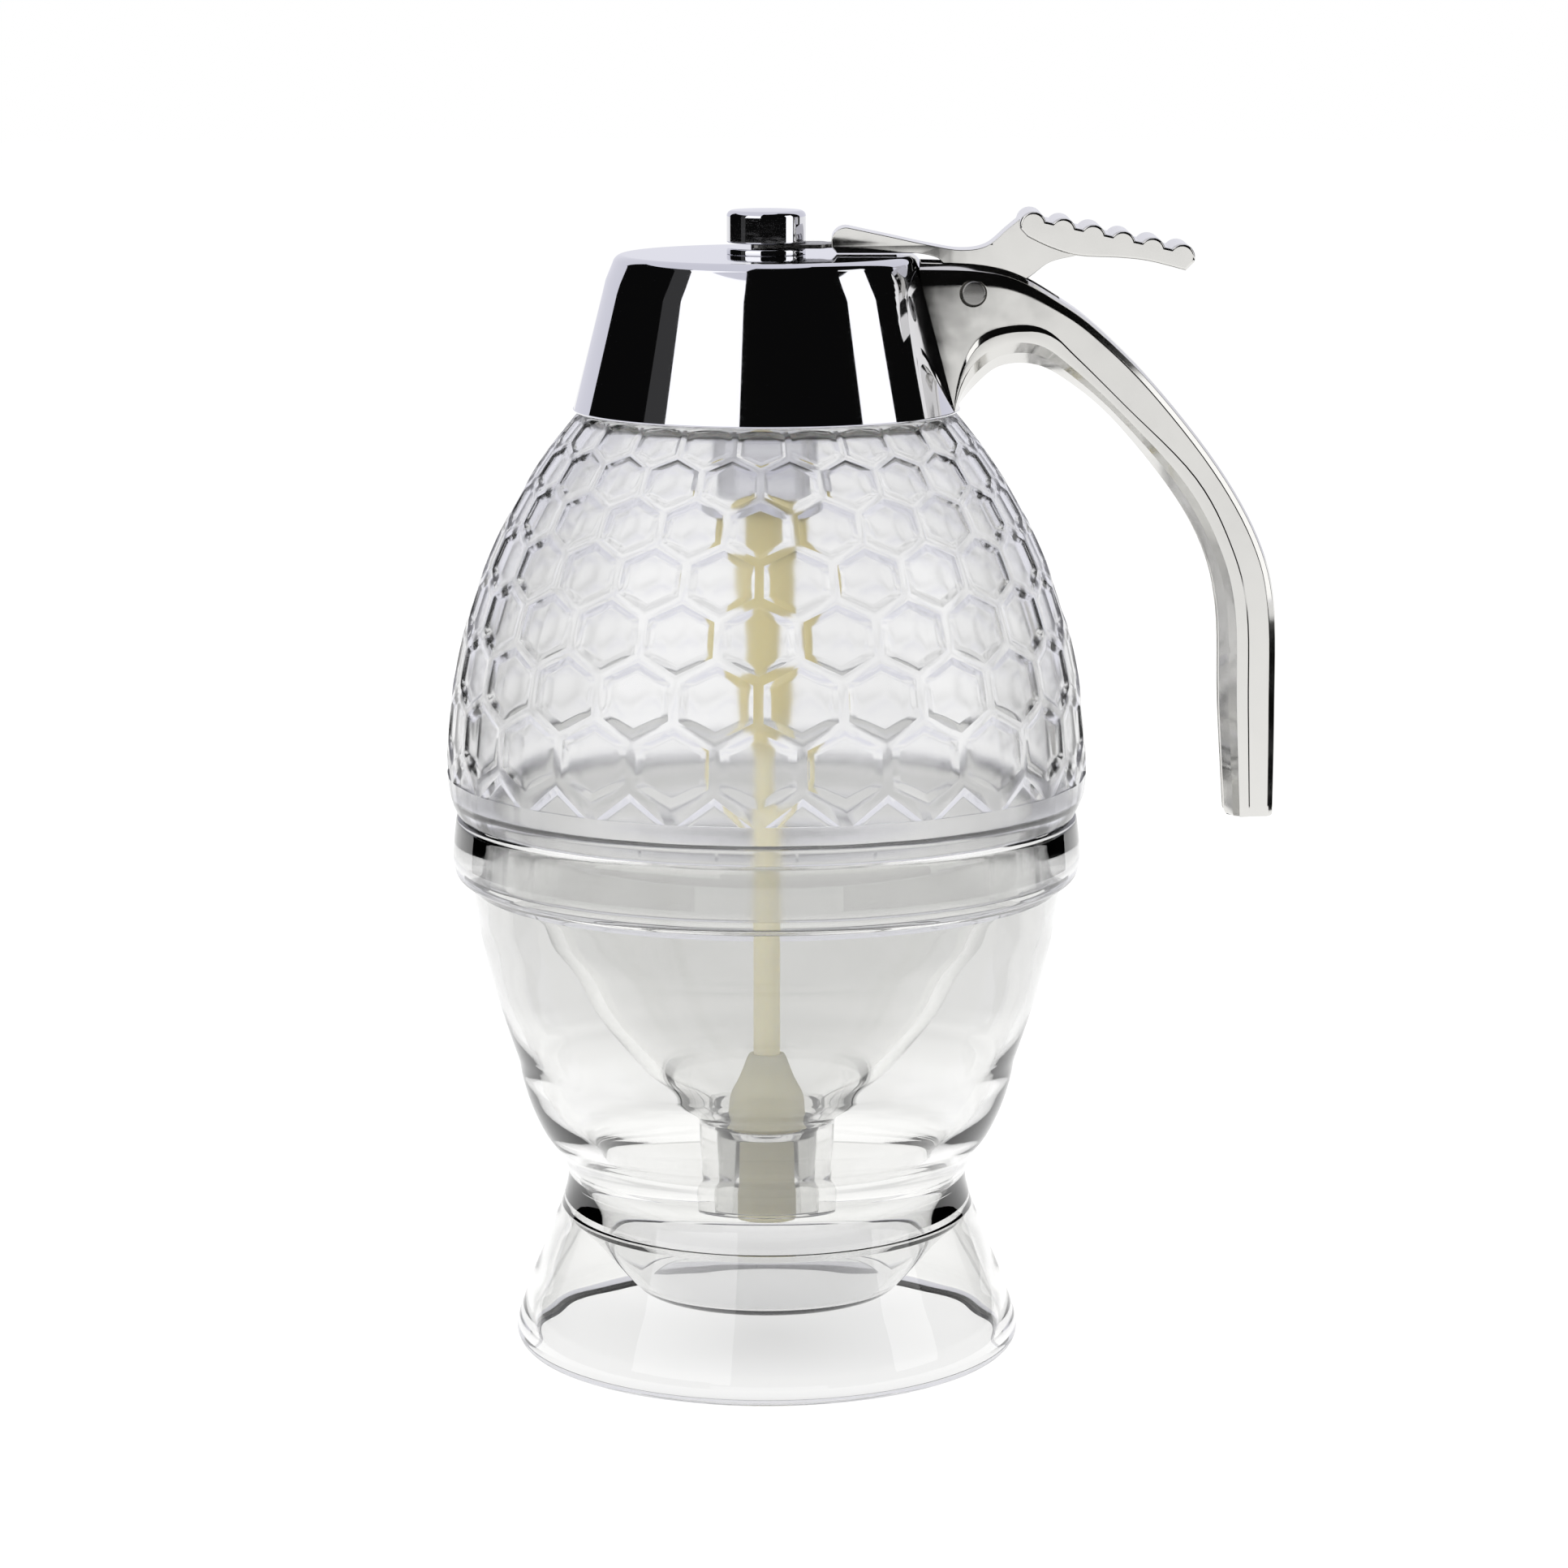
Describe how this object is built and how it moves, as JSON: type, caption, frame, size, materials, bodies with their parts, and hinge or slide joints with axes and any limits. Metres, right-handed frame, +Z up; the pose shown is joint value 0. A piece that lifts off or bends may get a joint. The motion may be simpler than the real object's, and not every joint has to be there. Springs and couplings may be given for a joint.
{
  "type": "honey dispenser",
  "caption": "Clear honey dispenser: honeycomb dome jar with funnel outlet in a drip stand, chrome cap, pistol handle, thumb lever and sprung plunger valve.",
  "frame": {"origin": "centre of the foot's underside, on the table, on the jar's axis", "axes": "+Z up along the jar's axis, +X towards the handle, Y across the handle"},
  "size_m": [0.126, 0.0974, 0.175],
  "materials": {
    "clear_acrylic": "clear, moulded, polished",
    "clear_honeycomb": "clear, moulded, honeycomb relief",
    "mirror_chrome": "bright chrome plate",
    "cast_chrome": "chrome plate over a polished casting",
    "steel": "turned",
    "spring_steel": "drawn wire",
    "cream_plastic": "moulded, satin",
    "soft_stopper": "translucent silicone",
    "seal": "silicone",
    "liner_plastic": "moulded"
  },
  "bodies": {
    "stand": {"stand": "clear_acrylic"},
    "jar": {"jar_dome": "clear_honeycomb", "jar_funnel": "clear_acrylic", "outlet_seat": "clear_acrylic"},
    "lid_seal": {"lid_gasket": "seal"},
    "lid": {"cap_shell": "mirror_chrome", "cap_liner": "liner_plastic", "handle": "cast_chrome", "handle_screws": "steel", "pivot_pin": "steel", "guide_bush": "mirror_chrome", "spring_barrel": "steel", "return_spring": "spring_steel"},
    "plunger": {"spring_washer": "steel", "plunger_stud": "steel", "knob": "mirror_chrome", "plunger_rod": "cream_plastic", "stopper": "soft_stopper"},
    "lever": {"thumb_lever": "cast_chrome", "lift_fork": "spring_steel", "fork_rivets": "steel"}
  },
  "joints": [
    {"name": "jar_lift", "type": "slide", "parent": "stand", "child": "jar", "axis": [0, 0, 1], "range_m": [0, 0.08]},
    {"name": "lid_lift", "type": "slide", "parent": "jar", "child": "lid_seal", "axis": [0, 0, 1], "range_m": [0, 0.145]},
    {"name": "lid_turn", "type": "hinge", "parent": "lid_seal", "child": "lid", "pos_m": [0, 0, 0.15], "axis": [0, 0, 1], "range_deg": [0, 360]},
    {"name": "plunger_lift", "type": "slide", "parent": "lid", "child": "plunger", "axis": [0, 0, 1], "range_m": [0, 0.0064], "stiffness_N_per_m": 100, "springref_m": -0.006, "deforming": ["return_spring"]},
    {"name": "lever_press", "type": "hinge", "parent": "lid", "child": "lever", "pos_m": [0.0309, 0, 0.1629], "axis": [0, 1, 0], "range_deg": [0, 11]}
  ],
  "couplings": [
    {"joint": "lever_press", "follows": "plunger_lift", "rad_per_m": 29.94}
  ]
}
